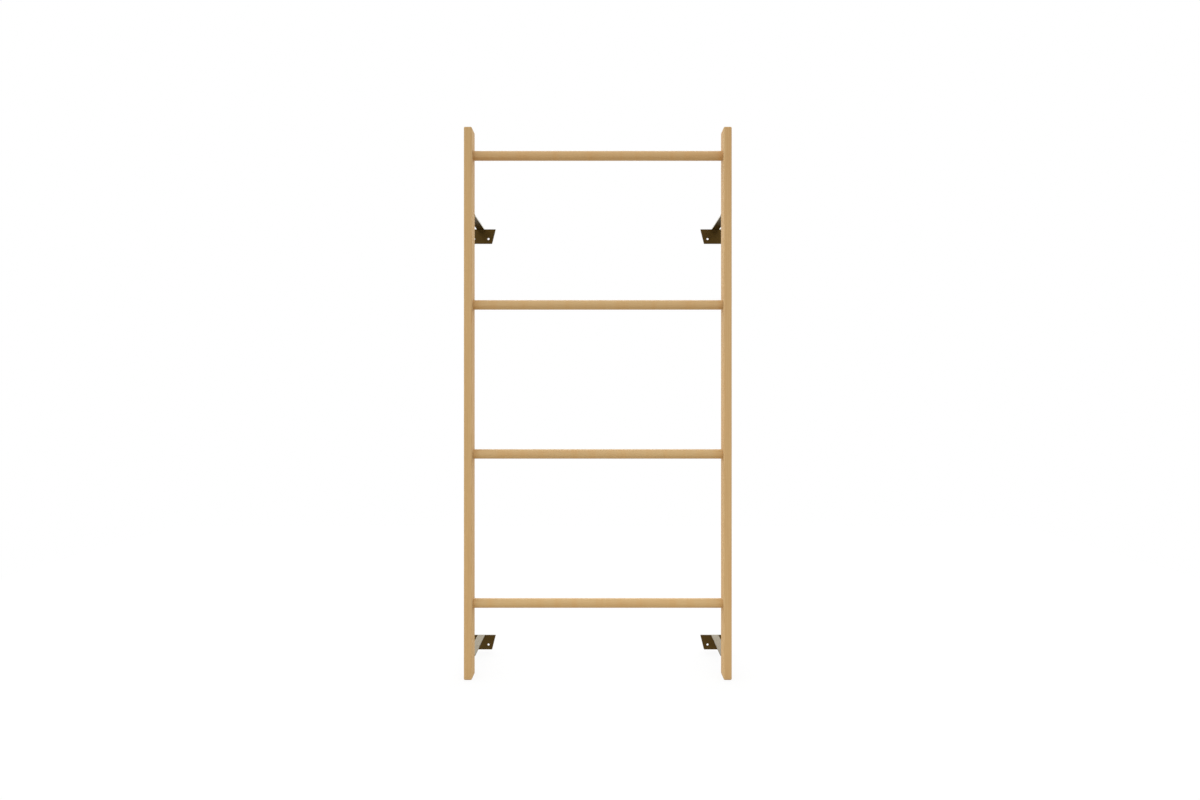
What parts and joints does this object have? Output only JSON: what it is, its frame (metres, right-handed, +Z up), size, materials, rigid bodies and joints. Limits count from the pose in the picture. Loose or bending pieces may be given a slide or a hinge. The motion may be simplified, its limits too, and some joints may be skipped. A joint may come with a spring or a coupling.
{
  "type": "swedish wall bars",
  "caption": "Tall ladder-like exercise frame with round wooden rungs between upright stiles, held off a wall on bent steel brackets with tapered plates.",
  "frame": {"origin": "on the wall plane, midway between the stiles, level with the feet of the stiles", "axes": "+Z up along the stiles, +Y into the wall, +X to the viewer's right when facing the front; the front faces -Y"},
  "size_m": [1.0892, 0.37, 2.065],
  "materials": {
    "stile_wood": "satin varnish, grain along the stile",
    "rung_wood": "satin varnish, turned",
    "dowel_wood": "bare end grain",
    "bronze_paint": "dark bronze paint, semi-gloss",
    "zinc": "bright zinc plate"
  },
  "bodies": {
    "root": {"stile_left": "stile_wood", "stile_right": "stile_wood", "rung_1": "rung_wood", "rung_2": "rung_wood", "rung_3": "rung_wood", "rung_4": "rung_wood", "dowel_left_1": "dowel_wood", "dowel_left_2": "dowel_wood", "dowel_left_3": "dowel_wood", "dowel_left_4": "dowel_wood", "dowel_right_1": "dowel_wood", "dowel_right_2": "dowel_wood", "dowel_right_3": "dowel_wood", "dowel_right_4": "dowel_wood", "bracket_lower_left": "bronze_paint", "screw_lower_left_1": "zinc", "screw_lower_left_2": "zinc", "bracket_lower_right": "bronze_paint", "screw_lower_right_1": "zinc", "screw_lower_right_2": "zinc", "bracket_upper_left": "bronze_paint", "screw_upper_left_1": "zinc", "screw_upper_left_2": "zinc", "bracket_upper_right": "bronze_paint", "screw_upper_right_1": "zinc", "screw_upper_right_2": "zinc"}
  },
  "joints": []
}
